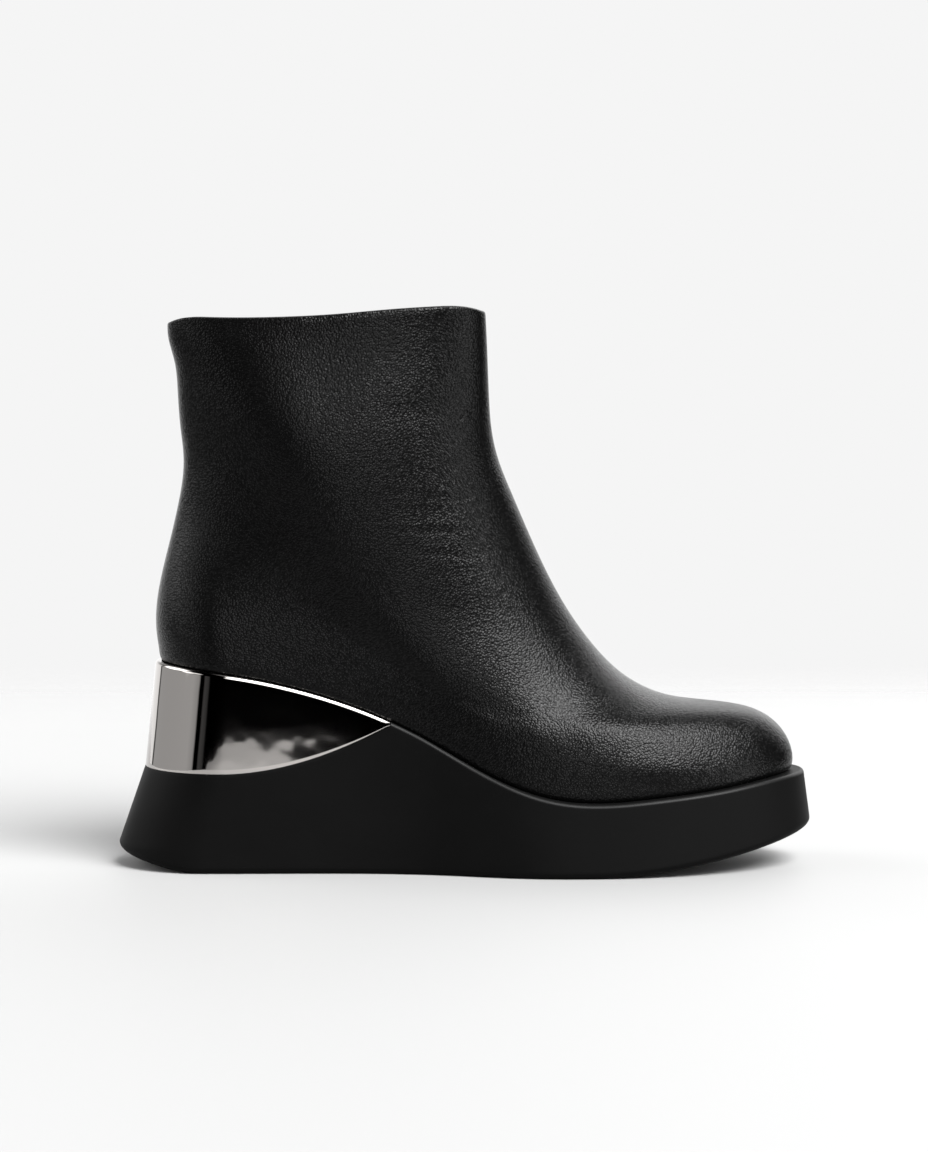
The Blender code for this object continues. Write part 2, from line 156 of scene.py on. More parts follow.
# Front of the upper from toe to collar: forward, up
FRONT_PROFILE = (
    (1.000, 0.000),
    (1.003, 0.025),
    (0.989, 0.062),
    (0.949, 0.100),
    (0.880, 0.129),
    (0.748, 0.144),
    (0.632, 0.153),
    (0.540, 0.172),
    (0.443, 0.210),
    (0.347, 0.275),
    (0.257, 0.361),
    (0.167, 0.478),
    (0.083, 0.608),
    (0.038, 0.687),
    (0.021, 0.740),
    (0.012, 0.814),
    (0.004, 0.949),
    (0.000, 1.000),
)

# Back of the upper from seat to collar: up, forward
BACK_PROFILE = (
    (0.000, 0.00),
    (0.030, -0.05),
    (0.082, -0.16),
    (0.140, -0.18),
    (0.230, 0.01),
    (0.350, 0.46),
    (0.468, 0.89),
    (0.600, 1.13),
    (0.680, 1.01),
    (0.790, 0.88),
    (0.885, 0.73),
    (0.965, 0.43),
    (1.000, 0.42),
)

# Top line of the collar: share from back to front, height as a share of its drop
COLLAR_LINE = (
    (0.00, 0.00),
    (0.04, 0.24),
    (0.12, 0.31),
    (0.38, 0.34),
    (0.50, 0.46),
    (0.70, 0.80),
    (0.84, 0.98),
    (0.92, 1.00),
    (0.97, 0.86),
    (1.00, 0.70),
)

# Fullness of the upper: level, then the half width for each share from back to front
FULLNESS_ALONG = (0.00, 0.10, 0.30, 0.50, 0.70, 0.85, 0.93, 1.00)
FULLNESS = (
    (0.00, (1.00, 1.00, 1.00, 1.00, 1.00, 1.00, 1.00, 1.00)),
    (0.08, (1.01, 1.01, 1.00, 0.98, 0.98, 0.94, 0.90, 0.86)),
    (0.23, (1.00, 1.00, 1.01, 0.98, 1.02, 1.02, 0.98, 0.90)),
    (0.37, (1.00, 1.00, 1.03, 1.07, 1.13, 1.15, 1.11, 0.98)),
    (0.50, (1.00, 1.00, 1.05, 1.09, 1.12, 1.11, 1.05, 0.94)),
    (0.75, (0.88, 0.89, 0.94, 0.95, 0.93, 0.88, 0.82, 0.77)),
    (1.00, (0.74, 0.73, 0.71, 0.70, 0.71, 0.73, 0.75, 0.77)),
)

# Soft swells and hollows of the leather: side (-1 outer, 1 inner), place as shares of
# length and height, spreads along and across as shares of the height, turn in degrees,
# rise as a share of the wall
SWELLS = (
    (-1, 0.23, 0.80, 0.20, 0.085, -52, 0.85),  # slack of the shaft, from collar to ankle
    (-1, 0.17, 0.73, 0.17, 0.060, -52, -0.35),  # hollow behind it
    (-1, 0.40, 0.780, 0.20, 0.120, 0, 0.95),  # fullness over the ankle
    (-1, 0.19, 0.555, 0.100, 0.055, 0, 0.45),  # side of the heel
    (-1, 0.19, 0.410, 0.100, 0.055, 0, -0.20),  # hollow under it
    (-1, 0.43, 0.815, 0.07, 0.026, 8, -0.12),  # shallow hollow over the pinch
    (-1, 0.492, 0.745, 0.036, 0.024, 10, 0.16),  # small fold under the pinch
    (-1, 0.45, 0.645, 0.070, 0.018, 4, -0.06),  # trough across the ankle
    (-1, 0.590, 0.280, 0.050, 0.028, -35, 0.30),  # side of the instep over the ball
    (-1, 0.760, 0.190, 0.100, 0.028, -4, 0.34),  # side of the toe over the ledge
    (1, 0.30, 0.80, 0.15, 0.055, -25, 0.34),
    (1, 0.22, 0.70, 0.14, 0.060, -48, -0.34),
    (1, 0.45, 0.650, 0.085, 0.026, 4, -0.28),
    (1, 0.47, 0.745, 0.050, 0.026, 8, 0.22),
)

# Creases of the leather: side, start, middle and end as shares of length and height,
# half width as a share of the height, depth as a share of the wall
CREASES = (
    (-1, (0.480, 0.800), (0.500, 0.803), (0.523, 0.815), 0.0036, 0.26),  # the pinch
    (-1, (0.470, 0.770), (0.492, 0.768), (0.520, 0.778), 0.0040, 0.06),
    (-1, (0.452, 0.722), (0.490, 0.716), (0.528, 0.724), 0.0050, 0.05),
    (-1, (0.420, 0.668), (0.465, 0.655), (0.520, 0.668), 0.0060, 0.05),
    (-1, (0.395, 0.612), (0.450, 0.598), (0.530, 0.606), 0.0060, 0.05),
    (-1, (0.400, 0.575), (0.465, 0.560), (0.540, 0.560), 0.0055, 0.04),
    (1, (0.450, 0.770), (0.490, 0.765), (0.525, 0.778), 0.0045, 0.16),
    (1, (0.420, 0.690), (0.475, 0.680), (0.530, 0.694), 0.0060, 0.12),
    (1, (0.400, 0.620), (0.460, 0.606), (0.535, 0.612), 0.0060, 0.10),
)

# Form of a crease: height of its lips as a share of its depth, their place and half width
# in half widths of the trough, and the power of its fade toward the ends
LIP_HEIGHT = 0.45
LIP_PLACE = 2.0
LIP_WIDTH = 1.3
CREASE_FADE_POWER = 0.7

# Fold over the waist that is evened out: place as shares of length and height, spread as
# a share of the height, rounds of averaging
WAIST_FOLD = (0.52, 0.270, 0.070, 40)

# Zone over the ankle with fine lines in the leather: a row like those of the swells, for
# both sides, whose value is 1 in the middle
FLEX_ZONE = (0, 0.47, 0.66, 0.22, 0.16, 0, 1 / WALL)

# How the relief fades: share of the shaft's width where a side begins, heights over the
# seat and under the collar, share that is left at the collar
SIDE_BEGINS = 0.25
FADE_OVER_SEAT = 3 * EDGE_TUCK_HEIGHT
FADE_UNDER_COLLAR = 5 * WALL
LEFT_AT_COLLAR = 0.25


def spline(keys, values):
    """Return the smooth curve through the values, one row of numbers for each key."""
    keys = np.asarray(keys, float)
    values = np.asarray(values, float).reshape(len(keys), -1)
    steps = np.diff(keys)
    count = len(keys)
    matrix = np.eye(count)
    bends = np.zeros_like(values)
    for i in range(1, count - 1):
        matrix[i, i - 1 : i + 2] = steps[i - 1], 2 * (steps[i - 1] + steps[i]), steps[i]
        slope_after = (values[i + 1] - values[i]) / steps[i]
        slope_before = (values[i] - values[i - 1]) / steps[i - 1]
        bends[i] = 6 * (slope_after - slope_before)
    bends = np.linalg.solve(matrix, bends)

    def value(at):
        at = np.clip(np.asarray(at, float), keys[0], keys[-1])
        i = np.clip(np.searchsorted(keys, at) - 1, 0, count - 2)
        step = steps[i][..., None]
        after = (at - keys[i])[..., None] / step
        before = 1 - after
        curve = (before**3 - before) * bends[i] + (after**3 - after) * bends[i + 1]
        result = before * values[i] + after * values[i + 1] + curve * step**2 / 6
        return result[..., 0] if result.shape[-1] == 1 else result

    return value


def path(points):
    """Return the smooth curve through plane points, by share of its length."""
    points = np.asarray(points, float)
    lengths = np.linalg.norm(np.diff(points, axis=0), axis=1)
    along = np.concatenate(([0.0], np.cumsum(lengths)))
    return spline(along / along[-1], points)


def smooth_step(share):
    """Ease from 0 to 1 as the share goes from 0 to 1."""
    share = np.clip(share, 0, 1)
    return share * share * (3 - 2 * share)


sole_plan = spline([row[0] for row in SOLE_PLAN], [row[1:] for row in SOLE_PLAN])
sole_top = spline([row[0] for row in SOLE_TOP], [row[1:] for row in SOLE_TOP])


def length_share(x):
    """Share of the sole's length at x, from the back."""
    return (x - BACK_X) / SOLE_LENGTH


def top_height(x):
    """Height of the sole's top at x."""
    parts = sole_top(length_share(x))
    seat_rise = SEAT_HEIGHT - BALL_HEIGHT
    toe_rise = TOE_HEIGHT - BALL_HEIGHT
    return BALL_HEIGHT + parts[..., 0] * seat_rise + parts[..., 1] * toe_rise


def bottom_height(x):
    """Height of the sole's bottom at x: flat, with a heel bevel and a toe spring."""
    bevel = np.clip(1 - (x - BACK_X) / HEEL_BEVEL_LENGTH, 0, None)
    spring = np.clip(1 + (x + BACK_X) / TOE_SPRING_LENGTH, 0, None)
    return HEEL_BEVEL * bevel**HEEL_BEVEL_POWER + TOE_SPRING * spring**TOE_SPRING_POWER


def toe_swing(share):
    """How far the middle of the forefoot stands to the inner side."""
    return TOE_SWING * smooth_step((share - SWING_FROM) / (1 - SWING_FROM))


def plan(angle):
    """Outline of the sole at its widest: 0 is the back, pi the toe, outer side between."""
    share = (1 - np.cos(angle)) / 2
    outer = np.sin(angle) >= 0
    parts = sole_plan(share)
    grown = np.where(outer, parts[..., 0], parts[..., 1])
    ball = np.where(outer, BALL_OUTER, BALL_INNER)
    half_width = HEEL_WIDTH / 2 + grown * (ball - HEEL_WIDTH / 2)
    into_heel = np.clip(1 - share * SOLE_LENGTH / HEEL_ROUND_LENGTH, 0, 1)
    into_toe = np.clip(1 - (1 - share) * SOLE_LENGTH / TOE_ROUND_LENGTH, 0, 1)
    rounding = 1 - into_heel**OUTLINE_POWER - into_toe**OUTLINE_POWER
    half_width = half_width * np.clip(rounding, 0, 1) ** (1 / OUTLINE_POWER)
    y = np.where(outer, -1, 1) * half_width + toe_swing(share)
    return np.stack((BACK_X + share * SOLE_LENGTH, y), -1)


def plan_normal(angle):
    """Outward direction of that outline."""
    step = 1e-3
    run = plan(angle + step) - plan(angle - step)
    normal = np.stack((run[..., 1], -run[..., 0]), -1)
    return normal / np.linalg.norm(normal, axis=-1, keepdims=True)


def facing_back(angle):
    """How much the outline faces back: 1 at the back, 0 from the sides to the toe."""
    return np.clip(-plan_normal(angle)[..., 0], 0, 1) ** 2


def side_inset(angle, height):
    """How far the sole's sides and toe stand in from the widest outline at a height."""
    x = plan(angle)[..., 0]
    foot = bottom_height(x) + BOTTOM_EDGE
    risen = np.clip((height - foot) / (top_height(x) - foot), 0, 1)
    return (1 - facing_back(angle)) * SIDE_LEAN * risen


def heel_step(x, height):
    """How far the heel's outline is moved forward at a height."""
    foot = HEEL_BEVEL + BOTTOM_EDGE
    flare = np.clip((height - foot) / (COVER_BOTTOM_HEIGHT - foot), 0, 1)
    lean = np.clip((height - COVER_BOTTOM_HEIGHT) / (SEAT_HEIGHT - COVER_BOTTOM_HEIGHT), 0, 1)
    near = 1 - smooth_step((x - BACK_X) / HEEL_FLARE_REACH)
    return near * (HEEL_FLARE * flare + COVER_LEAN * lean)


def wall(angle, height, inward=0.0):
    """Points on the sole's wall at a height, moved inward by a distance."""
    place = plan(angle)
    forward = heel_step(place[..., 0], height)
    distance = side_inset(angle, height) + inward
    place = place - plan_normal(angle) * distance[..., None]
    place[..., 0] += forward
    return np.concatenate((place, np.broadcast_to(height, angle.shape)[..., None]), -1)


def wall_top(angle):
    """Height at which the sole's wall meets its top."""
    height = top_height(plan(angle)[..., 0])
    for _ in range(3):
        height = top_height(wall(angle, height)[..., 0])
    return height


def folded(angle):
    """The same angle on the outer side, from 0 to pi."""
    return np.arccos(np.clip(np.cos(angle), -1, 1))


def cover_bottom(angle):
    """Height of the heel cover's lower edge."""
    top = wall_top(angle)
    x = wall(angle, top)[..., 0]
    risen = np.clip((x - COVER_RISE_X) / (COVER_TIP_X - COVER_RISE_X), 0, 1)
    tip = top_height(np.array(COVER_TIP_X)) - COVER_TIP_HEIGHT
    height = COVER_BOTTOM_HEIGHT + (tip - COVER_BOTTOM_HEIGHT) * risen**COVER_RISE_POWER
    return np.minimum(height, top - COVER_TIP_HEIGHT)


def cover_tip_angle():
    """Angle of the cover's tips."""
    return math.acos(1 - 2 * (COVER_TIP_X - BACK_X) / SOLE_LENGTH)


def seat_line(angle):
    """Outline on top of the sole where the upper stands."""
    place = wall(angle, wall_top(angle))
    past_tip = length_share(place[..., 0]) - COVER_TIP_AT
    grown = smooth_step(past_tip / (FULL_LEDGE_AT - COVER_TIP_AT))
    side_ledge = HEEL_LEDGE + grown * (LEDGE_WIDTH - HEEL_LEDGE)
    ledge = side_ledge + facing_back(angle) * (BACK_LEDGE - side_ledge)
    place[..., :2] -= plan_normal(angle) * ledge[..., None]
    place[..., 2] = top_height(place[..., 0]) + CLEARANCE
    return place


def fullness(level, along):
    """Half width of the upper at a level, as a share of that of its seat."""
    levels = [row[0] for row in FULLNESS]
    by_level = spline(levels, [row[1] for row in FULLNESS])(level)
    return spline(FULLNESS_ALONG, by_level)(along)


def upper_surface(angle, levels):
    """Outer surface of the upper: a row of points for each level from edge to collar."""
    seat = seat_line(angle)
    outer_seat = seat_line(folded(angle))
    back_foot, toe_foot = seat_line(np.array([0.0, math.pi]))[:, [0, 2]]
    collar_back = np.array((back_foot[0], BOOT_HEIGHT - COLLAR_DROP))
    collar_back[0] += HEEL_CURVE * BACK_PROFILE[-1][1]
    front_lift = COLLAR_DROP * COLLAR_LINE[-1][1]
    collar_front = collar_back + (COLLAR_LENGTH, front_lift)
    rise = collar_back[1] - back_foot[1]
    back = [(HEEL_CURVE * forward, rise * up) for up, forward in BACK_PROFILE] + back_foot
    spread = collar_front - toe_foot
    front = [(spread[0] * (1 - forward), spread[1] * up) for forward, up in FRONT_PROFILE]
    front = toe_foot + front
    collar_line = spline([row[0] for row in COLLAR_LINE], [row[1] for row in COLLAR_LINE])

    along = (seat[:, 0] - seat[0, 0]) / (toe_foot[0] - back_foot[0])
    outer_along = (outer_seat[:, 0] - seat[0, 0]) / (toe_foot[0] - back_foot[0])
    seat_sag = seat[:, 2] - (back_foot[1] + along * (toe_foot[1] - back_foot[1]))
    even = (1 - np.cos(angle)) / 2
    collar_sag = COLLAR_DROP * collar_line(even) - even * front_lift
    side = np.where(np.sin(angle) >= 0, -1.0, 1.0)
    middle = toe_swing(along)
    own_half = np.abs(seat[:, 1] - middle)
    outer_half = np.abs(outer_seat[:, 1] - toe_swing(outer_along))
    rounding = np.clip(1 - np.abs(2 * even - 1) ** COLLAR_POWER, 0, 1)
    oval = SHAFT_WIDTH / 2 * rounding ** (1 / COLLAR_POWER)
    rows = []
    for level in levels:
        back_point = path(back)(level)
        front_point = path(front)(level)
        up_shaft = smooth_step(level / OVAL_FROM)
        share = along + up_shaft * (even - along)
        place = back_point + share[:, None] * (front_point - back_point)
        place[:, 1] += (1 - level) * seat_sag + level * collar_sag
        half = own_half + up_shaft * (outer_half - own_half)
        half = half + up_shaft * (oval - half)
        y = side * half * fullness(level, share) + middle * (1 - level)
        rows.append(np.stack((place[:, 0], y, place[:, 1]), -1))
    grid = np.stack(rows)
    near_edge = np.clip(1 - (grid[..., 2] - seat[:, 2]) / EDGE_TUCK_HEIGHT, 0, 1)
    tuck = EDGE_TUCK * (1 - np.sqrt(1 - near_edge**2))
    grid[..., :2] -= plan_normal(angle) * tuck[..., None]
    grid[0, :, 2] = top_height(grid[0, :, 0]) + CLEARANCE
    return grid


def surface_normals(grid):
    """Outward directions of a surface given as closed rows of points."""
    wrapped = np.concatenate((grid[:, -1:], grid, grid[:, :1]), 1)
    round_it = wrapped[:, 2:] - wrapped[:, :-2]
    up_it = np.gradient(grid, axis=0)
    normal = np.cross(round_it, up_it)
    return normal / np.linalg.norm(normal, axis=-1, keepdims=True)


def inner_surface(outer):
    """The surface one wall thickness inside the upper's outer one."""
    normal = surface_normals(outer)
    above_seat = outer[..., 2] - outer[0, :, 2]
    flat = 1 - smooth_step(above_seat / FADE_OVER_SEAT)
    normal[..., 2] *= 1 - flat
    normal[-1, :, 2] = 0
    normal /= np.linalg.norm(normal, axis=-1, keepdims=True)
    inner = outer - WALL * normal
    inner[0, :, 2] = top_height(inner[0, :, 0]) + CLEARANCE
    return inner


def upper_levels(rows):
    """Levels of the rows: close together at the lower edge and the toe."""
    even = np.linspace(0, 1, rows)
    return CROWDED_LEVELS * even**LEVEL_POWER + (1 - CROWDED_LEVELS) * even


def place_in_profile(along, up):
    """A place on the side view from shares of length and height."""
    return np.array((BACK_X + along * SOLE_LENGTH, up * BOOT_HEIGHT))


def swell_height(places, row):
    """Rise of one soft swell or hollow at places in the side view."""
    _, along, up, spread_along, spread_across, turn, rise = row
    offset = places - place_in_profile(along, up)
    turn = math.radians(turn)
    forward = offset[..., 0] * math.cos(turn) + offset[..., 1] * math.sin(turn)
    across = offset[..., 1] * math.cos(turn) - offset[..., 0] * math.sin(turn)
    forward = forward / (spread_along * BOOT_HEIGHT)
    across = across / (spread_across * BOOT_HEIGHT)
    return rise * WALL * np.exp(-(forward**2) - across**2)


def crease_height(places, row):
    """Depth of one crease at places in the side view: a trough with soft lips."""
    _, start, middle, end, width, depth = row
    start, middle, end = (place_in_profile(*point) for point in (start, middle, end))
    width = width * BOOT_HEIGHT
    share = np.linspace(0, 1, CREASE_STEPS)[:, None]
    line = (1 - share) ** 2 * start + 2 * share * (1 - share) * middle + share**2 * end
    offset = places[..., None, :] - line
    far = np.linalg.norm(offset, axis=-1)
    nearest = far.argmin(-1)
    distance = far.min(-1)
    along = nearest / (len(line) - 1)
    fade = np.clip(4 * along * (1 - along), 0, 1) ** CREASE_FADE_POWER
    trough = -np.exp(-((distance / width) ** 2))
    from_lip = (distance - LIP_PLACE * width) / (LIP_WIDTH * width)
    lips = LIP_HEIGHT * np.exp(-(from_lip**2))
    return fade * depth * WALL * (trough + lips)


def leather_relief(grid):
    """Height of the leather over its last, from its swells and creases."""
    places = grid[..., [0, 2]]
    relief = np.zeros(grid.shape[:2])
    to_side = smooth_step(np.abs(grid[..., 1]) / (SIDE_BEGINS * SHAFT_WIDTH))
    on_side = np.sign(grid[..., 1])
    for row in SWELLS:
        here = to_side * (on_side == row[0])
        relief += here * swell_height(places, row)
    for row in CREASES:
        here = to_side * (on_side == row[0])
        relief += here * crease_height(places, row)
    above_seat = smooth_step((grid[..., 2] - grid[0, :, 2]) / FADE_OVER_SEAT)
    below_collar = smooth_step((grid[-1, :, 2] - grid[..., 2]) / FADE_UNDER_COLLAR)
    return relief * above_seat * (LEFT_AT_COLLAR + (1 - LEFT_AT_COLLAR) * below_collar)


def soften(grid, along, up, spread, rounds):
    """Even out the folds near a place in the side view, by repeated averaging."""
    distance = np.linalg.norm(grid[..., [0, 2]] - place_in_profile(along, up), axis=-1)
    weight = 0.5 * np.exp(-((distance / (spread * BOOT_HEIGHT)) ** 4))[..., None]
    for _ in range(rounds):
        mean = (np.roll(grid, 1, 1) + np.roll(grid, -1, 1)) / 4
        mean[1:-1] += (grid[:-2] + grid[2:]) / 4
        grid[1:-1] += weight[1:-1] * (mean[1:-1] - grid[1:-1])
    return grid


def rows_to_mesh(name, rows, around=True, closed=False):
    """Mesh from rows of points: around joins each row's ends, closed the rows' own ends."""
    rows = np.asarray(rows, float)
    count, width = rows.shape[:2]
    index = np.arange(count * width).reshape(count, width)
    if closed:
        index = np.concatenate((index, index[:1]))
    if around:
        index = np.concatenate((index, index[:, :1]), 1)
    faces = np.stack((index[:-1, :-1], index[:-1, 1:], index[1:, 1:], index[1:, :-1]), -1)
    mesh = bpy.data.meshes.new(name)
    return mesh, rows.reshape(-1, 3), [tuple(face) for face in faces.reshape(-1, 4).tolist()]


def strips_across(first, count, up):
    """Faces that close a row, from its first vertex on, straight across the boot."""
    faces = []
    for i in range(count // 2):
        strip = [i, i + 1, -(i + 1) % count, -i % count]
        corners = [first + corner for corner in dict.fromkeys(strip)]
        faces.append(tuple(corners if up else corners[::-1]))
    return faces


def make_piece(name, mesh, points, faces, materials, sharp=40):
    """A finished object from points and faces, smooth but for its hard edges."""
    mesh.from_pydata(points.tolist(), [], faces)
    mesh.shade_smooth()
    mesh.set_sharp_from_angle(angle=math.radians(sharp))
    for material in materials:
        mesh.materials.append(material)
    piece = bpy.data.objects.new(name, mesh)
    bpy.context.scene.collection.objects.link(piece)
    return piece


def keep_on_points(mesh, name, values):
    """Store one number for each vertex under a name that a material can read."""
    attribute = mesh.attributes.new(name, "FLOAT", "POINT")
    attribute.data.foreach_set("value", values.astype(np.float32).ravel())


def make_upper(leather, lining):
    """The leather upper: outer surface with its creases, rolled collar edge and lining."""
    angle = np.arange(UPPER_COLUMNS) * 2 * math.pi / UPPER_COLUMNS
    smooth = upper_surface(angle, upper_levels(UPPER_ROWS))
    smooth[-1, :, 2] -= WALL / 2
    outer = smooth + leather_relief(smooth)[..., None] * surface_normals(smooth)
    outer = soften(outer, *WAIST_FOLD)
    last = upper_surface(angle, upper_levels(LINING_ROWS))
    last[-1, :, 2] -= WALL / 2
    inner = inner_surface(last)
    rim = []
    for turn in np.radians(np.arange(15, 180, 15)):
        share = (1 - math.cos(turn)) / 2
        row = outer[-1] + share * (inner[-1] - outer[-1])
        row[:, 2] += WALL / 2 * math.sin(turn)
        rim.append(row)
    rows = np.stack((*outer, *rim, *inner[::-1]))
    mesh, points, faces = rows_to_mesh("boot_upper", rows, closed=True)
    piece = make_piece("boot_upper", mesh, points, faces, (leather, lining))
    lined = (len(outer) + len(rim)) * UPPER_COLUMNS
    first_corner = np.array([face[0] for face in faces])
    mesh.polygons.foreach_set("material_index", (first_corner >= lined).astype(np.int32))
    flex = np.zeros(len(points))
    flex[: outer.size // 3] = swell_height(smooth[..., [0, 2]], FLEX_ZONE).ravel()
    keep_on_points(mesh, "flex", np.clip(flex, 0, 1))
    return piece


def make_sole(rubber):
    """The moulded wedge and platform, with the seat of the heel cover."""
    tip = cover_tip_angle()
    heel = np.linspace(0, tip, HEEL_COLUMNS + 1)
    fore = np.linspace(tip + COVER_TIP_STEP, math.pi, FORE_COLUMNS + 1)
    outer = np.concatenate((heel, fore))
    angle = np.concatenate((outer, (2 * math.pi - outer)[-2:0:-1]))
    top = wall_top(angle)
    bottom = bottom_height(plan(angle)[:, 0])
    covered = folded(angle) <= tip + COVER_TIP_STEP / 2
    seat_depth = COVER_THICKNESS + CLEARANCE
    shoulder = np.where(covered, cover_bottom(angle) - CLEARANCE, top - LEDGE_EDGE)
    rows = []
    for turn in np.radians(np.arange(0, 90, 10)):
        inward = BOTTOM_EDGE * (1 - math.sin(turn))
        lift = BOTTOM_EDGE * (1 - math.cos(turn))
        row = wall(angle, bottom + BOTTOM_EDGE, inward)
        row[:, 2] = bottom_height(row[:, 0]) + lift
        rows.append(row)
    for share in np.linspace(0, 1, SOLE_WALL_ROWS):
        height = bottom + BOTTOM_EDGE + share * (shoulder - bottom - BOTTOM_EDGE)
        rows.append(wall(angle, height))
    for turn in EDGE_TURNS:
        share = turn / (math.pi / 2)
        inward = np.where(covered, seat_depth, LEDGE_EDGE * (1 - math.cos(turn)))
        seat_height = shoulder + share * (top - shoulder)
        height = np.where(covered, seat_height, top - LEDGE_EDGE * (1 - math.sin(turn)))
        rows.append(wall(angle, height, inward))
    rows[-1][:, 2] = top_height(rows[-1][:, 0])
    mesh, points, faces = rows_to_mesh("boot_sole", rows)
    faces += strips_across(0, len(angle), up=False)
    faces += strips_across(len(points) - len(angle), len(angle), up=True)
    piece = make_piece("boot_sole", mesh, points, faces, (rubber,))
    edge = np.zeros((len(rows), len(angle)))
    edge[-len(EDGE_TURNS) :] = np.where(covered, 0.0, 1.0)
    keep_on_points(mesh, "edge", edge)
    return piece


def make_heel_cover(mirror):
    """The mirror band round the heel, with its rounded top lip."""
    tip = cover_tip_angle()
    angle = np.linspace(-tip, tip, 2 * HEEL_COLUMNS + 1)
    low = cover_bottom(angle)
    high = wall_top(angle)
    lip = np.minimum(COVER_LIP, (high - low) / 2)
    edge = np.minimum(COVER_FOOT_EDGE, (high - low) / 4)
    rows = [wall(angle, low, COVER_THICKNESS)]
    for turn in np.radians(np.arange(0, 90, 18)):
        inward = edge * (1 - math.sin(turn))
        rows.append(wall(angle, low + edge * (1 - math.cos(turn)), inward))
    for share in np.linspace(0, 1, COVER_ROWS):
        rows.append(wall(angle, low + edge + share * (high - lip - low - edge)))
    for turn in np.radians(np.arange(10, 91, 10)):
        inward = lip * (1 - math.cos(turn))
        row = wall(angle, high - lip)
        row[:, :2] -= plan_normal(angle) * inward[:, None]
        row[:, 2] += lip * math.sin(turn)
        rows.append(row)
    rows.append(wall(angle, high, COVER_THICKNESS))
    mesh, points, faces = rows_to_mesh("boot_heel_cover", rows, around=False, closed=True)
    width = len(angle)
    end = [i * width for i in range(len(rows))]
    faces.append(tuple(end))
    faces.append(tuple(i + width - 1 for i in reversed(end)))
    return make_piece("boot_heel_cover", mesh, points, faces, (mirror,))


def make_insole(lining):
    """The footbed inside the upper, with a rounded upper edge."""
    angle = np.arange(UPPER_COLUMNS) * 2 * math.pi / UPPER_COLUMNS
    foot_rows = upper_surface(angle, upper_levels(LINING_ROWS))
    inner = inner_surface(foot_rows)[0]
    run = (np.roll(inner, -1, 0) - np.roll(inner, 1, 0))[:, :2]
    normal = np.stack((run[:, 1], -run[:, 0]), -1)
    normal /= np.linalg.norm(normal, axis=-1, keepdims=True)
    rows = []
    sections = [(0.0, 0.0), (0.0, INSOLE_THICKNESS - INSOLE_EDGE)]
    for turn in EDGE_TURNS:
        lift = INSOLE_THICKNESS - INSOLE_EDGE * (1 - math.sin(turn))
        sections.append((INSOLE_EDGE * (1 - math.cos(turn)), lift))
    for inward, lift in sections:
        edge = inner[:, :2] - normal * (CLEARANCE * 1.5 + inward)
        rows.append(np.column_stack((edge, top_height(edge[:, 0]) + CLEARANCE + lift)))
    mesh, points, faces = rows_to_mesh("boot_insole", rows)
    faces += strips_across(0, len(angle), up=False)
    faces += strips_across(len(points) - len(angle), len(angle), up=True)
    return make_piece("boot_insole", mesh, points, faces, (lining,))


# Patterns of the surfaces, in cells for each metre
GRAIN_CELLS = 1250.0  # pebbles drawn 0.8 mm wide, coarser than they are, so that they show
DRIFT_CELLS = 300.0  # uneven spacing of the grain, every 3.3 mm
PORE_CELLS = 1900.0  # pores 0.5 mm apart
FLEX_LINE_CELLS = (150.0, 150.0, 560.0)  # fine lines 7 mm long and 1.8 mm high
HIDE_CLOUD_CELLS = 22.0  # uneven dye and wax, every 45 mm
NAP_CELLS = 1400.0  # nap 0.7 mm wide, drawn coarser than it is
MOULD_SKIN_CELLS = 1600.0  # satin mould finish, 0.6 mm wide
MOULD_CLOUD_CELLS = 35.0  # mottled gloss, every 29 mm
PLATING_WAVE_CELLS = 55.0  # waves of the plated band, every 18 mm

# Heights and reaches of those patterns, in metres
GRAIN_HEIGHT = 0.00016
GRAIN_DRIFT = 0.0004
NAP_HEIGHT = 0.0001
MOULD_SKIN_HEIGHT = 0.00008
PLATING_WAVE_HEIGHT = 0.00025

# Fine lines over the ankle and pores, as shares of the pebbles' relief
FLEX_LINE_DEPTH = 0.8
PORE_DEPTH = 0.35
FLEX_LINE_TURN = 0.12  # slope of the lines, in radians

# Edge of the sole, which is rubbed smooth: shine of the walls, of the edge, and how much
# less rough the edge is
WALL_SHINE = 0.05
EDGE_SHINE = 0.14
EDGE_SMOOTHING = -0.06


def linear(code):
    """Colour for a socket from an sRGB hex code."""
    parts = [int(code[i : i + 2], 16) / 255 for i in (1, 3, 5)]
    parts = [p / 12.92 if p <= 0.04045 else ((p + 0.055) / 1.055) ** 2.4 for p in parts]
    return (*parts, 1.0)


def add(tree, kind, inputs=None, **settings):
    """Add a node with its settings, and its inputs as values or as sockets to link."""
    made = tree.nodes.new(kind)
    for name, value in settings.items():
        setattr(made, name, value)
    for name, value in (inputs or {}).items():
        if isinstance(value, bpy.types.NodeSocket):
            tree.links.new(value, made.inputs[name])
        else:
            made.inputs[name].default_value = value
    return made


def new_material(name, **inputs):
    """A material with its main shader, and the socket values that are the same all over."""
    material = bpy.data.materials.new(name)
    material.use_nodes = True
    shader = material.node_tree.nodes["Principled BSDF"]
    for key, value in inputs.items():
        shader.inputs[key.replace("_", " ")].default_value = value
    return material, material.node_tree, shader


